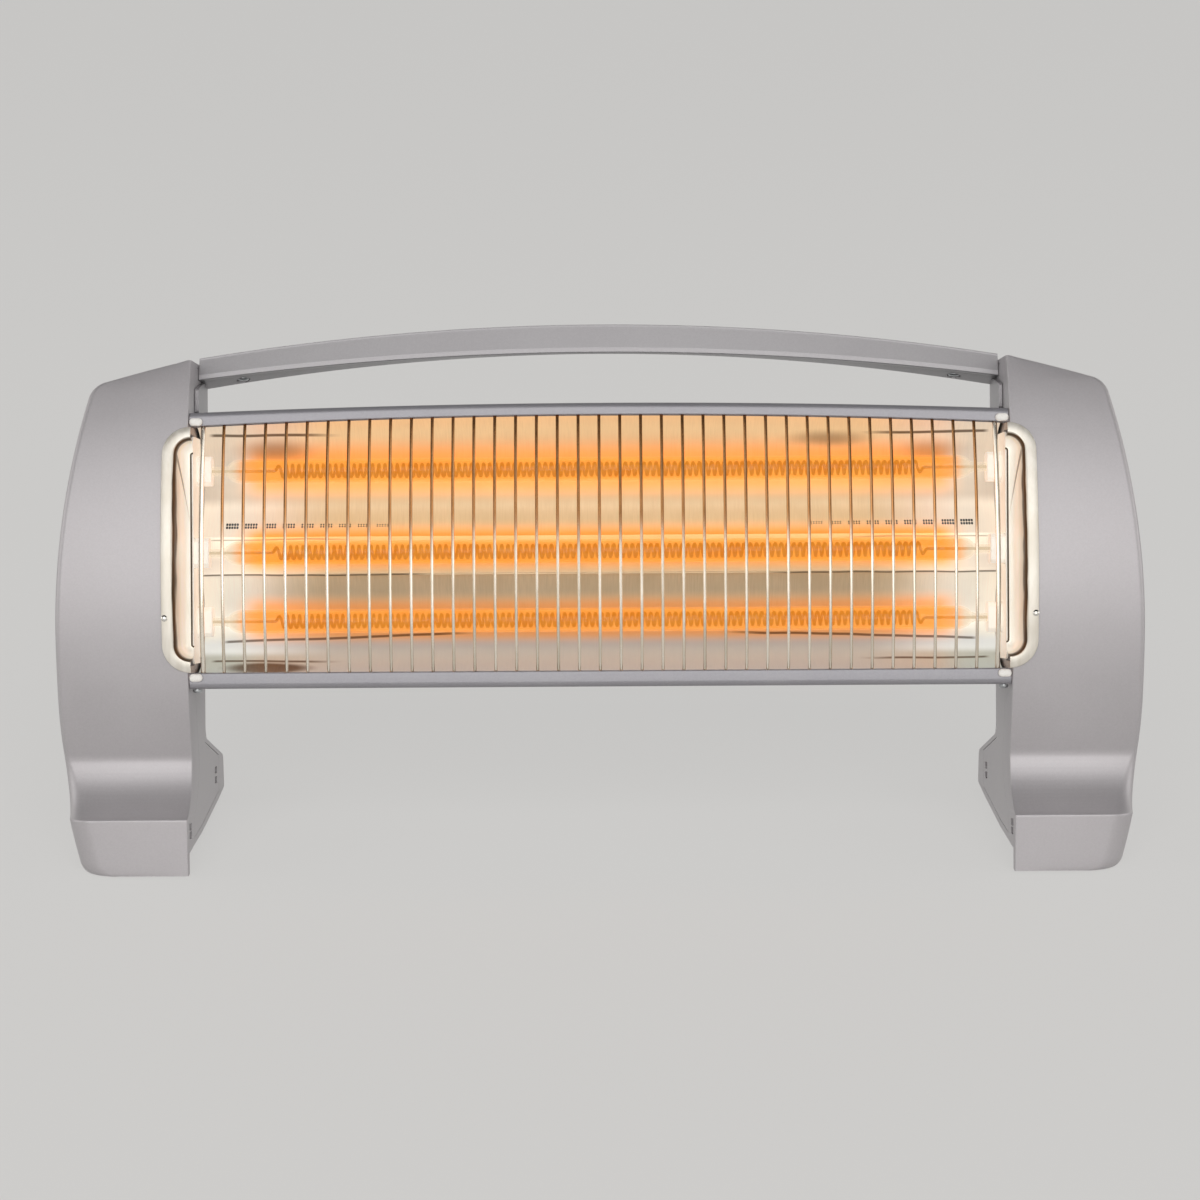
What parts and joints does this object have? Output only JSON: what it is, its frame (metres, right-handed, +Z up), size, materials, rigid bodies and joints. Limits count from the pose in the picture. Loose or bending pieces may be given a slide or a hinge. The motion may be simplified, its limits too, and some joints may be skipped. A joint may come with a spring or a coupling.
{
  "type": "carbon heater",
  "caption": "Free-standing radiant heater with quartz tubes before a folded reflector and wire guard, between two moulded casings with splayed feet, under a bowed carry handle",
  "frame": {"origin": "on the floor under the middle of the whole object", "axes": "+X to the heater's right as seen from the front, +Y from the front to the back, +Z up"},
  "size_m": [0.5454, 0.1448, 0.2605],
  "materials": {
    "casing_paint": "satin grey paint with fine metallic grain on moulded plastic",
    "handle_paint": "satin grey paint on moulded plastic",
    "rail_paint": "satin grey powder coat on rolled steel",
    "polished_steel": "bright rolled sheet, mirror polished, with fine lengthwise brushing",
    "chrome_wire": "bright plating on drawn wire and small pressings",
    "plated_steel": "dull zinc plating",
    "quartz_glass": "clear fused quartz, lit from inside",
    "glowing_coil": "carbon strand glowing orange",
    "ceramic": "off-white steatite, semi-matt",
    "knob_plastic": "grey moulded plastic",
    "pad_rubber": "pale grey rubber, matt",
    "dark_plastic": "black moulded plastic"
  },
  "bodies": {
    "frame": {"bottom_rail": "rail_paint", "cable_gland": "dark_plastic", "filament_bottom": "glowing_coil", "filament_middle": "glowing_coil", "filament_top": "glowing_coil", "handle_front": "handle_paint", "handle_rear": "handle_paint", "left_bezel": "polished_steel", "left_bezel_rivet": "plated_steel", "left_ceramic_cap_bottom": "ceramic", "left_ceramic_cap_middle": "ceramic", "left_ceramic_cap_top": "ceramic", "left_clip_bottom": "chrome_wire", "left_clip_top": "chrome_wire", "left_cover_screw_bottom": "plated_steel", "left_cover_screw_top": "plated_steel", "left_element_bracket": "plated_steel", "left_front_pad": "pad_rubber", "left_front_shell": "casing_paint", "left_handle_screw": "plated_steel", "left_inner_panel": "casing_paint", "left_rail_screw": "plated_steel", "left_rear_cover": "casing_paint", "left_rear_pad": "pad_rubber", "quartz_tube_bottom": "quartz_glass", "quartz_tube_middle": "quartz_glass", "quartz_tube_top": "quartz_glass", "rear_housing": "plated_steel", "reflector": "polished_steel", "right_bezel": "polished_steel", "right_bezel_rivet": "plated_steel", "right_ceramic_cap_bottom": "ceramic", "right_ceramic_cap_middle": "ceramic", "right_ceramic_cap_top": "ceramic", "right_clip_bottom": "chrome_wire", "right_clip_top": "chrome_wire", "right_cover_screw_bottom": "plated_steel", "right_cover_screw_top": "plated_steel", "right_element_bracket": "plated_steel", "right_front_pad": "pad_rubber", "right_front_shell": "casing_paint", "right_handle_screw": "plated_steel", "right_inner_panel": "casing_paint", "right_rail_screw": "plated_steel", "right_rear_cover": "casing_paint", "right_rear_pad": "pad_rubber", "rotary_switch": "dark_plastic", "terminal_block": "ceramic", "thermal_cutout": "dark_plastic", "tip_spring": "plated_steel", "tip_switch_body": "dark_plastic", "top_rail": "rail_paint", "wire_guard": "chrome_wire"},
    "selector": {"selector_knob": "knob_plastic", "selector_spindle": "plated_steel"},
    "tip_plunger": {"tip_plunger": "dark_plastic"}
  },
  "joints": [
    {"name": "selector_turn", "type": "hinge", "parent": "frame", "child": "selector", "pos_m": [0.2654, 0.00773, 0.14268], "axis": [1, 0, 0], "range_deg": [0, 135]},
    {"name": "tip_plunger_travel", "type": "slide", "parent": "frame", "child": "tip_plunger", "axis": [0, 0, -1], "range_m": [0, 0.0055], "stiffness_N_per_m": 200, "springref_m": 0.008, "deforming": ["tip_spring"]}
  ]
}
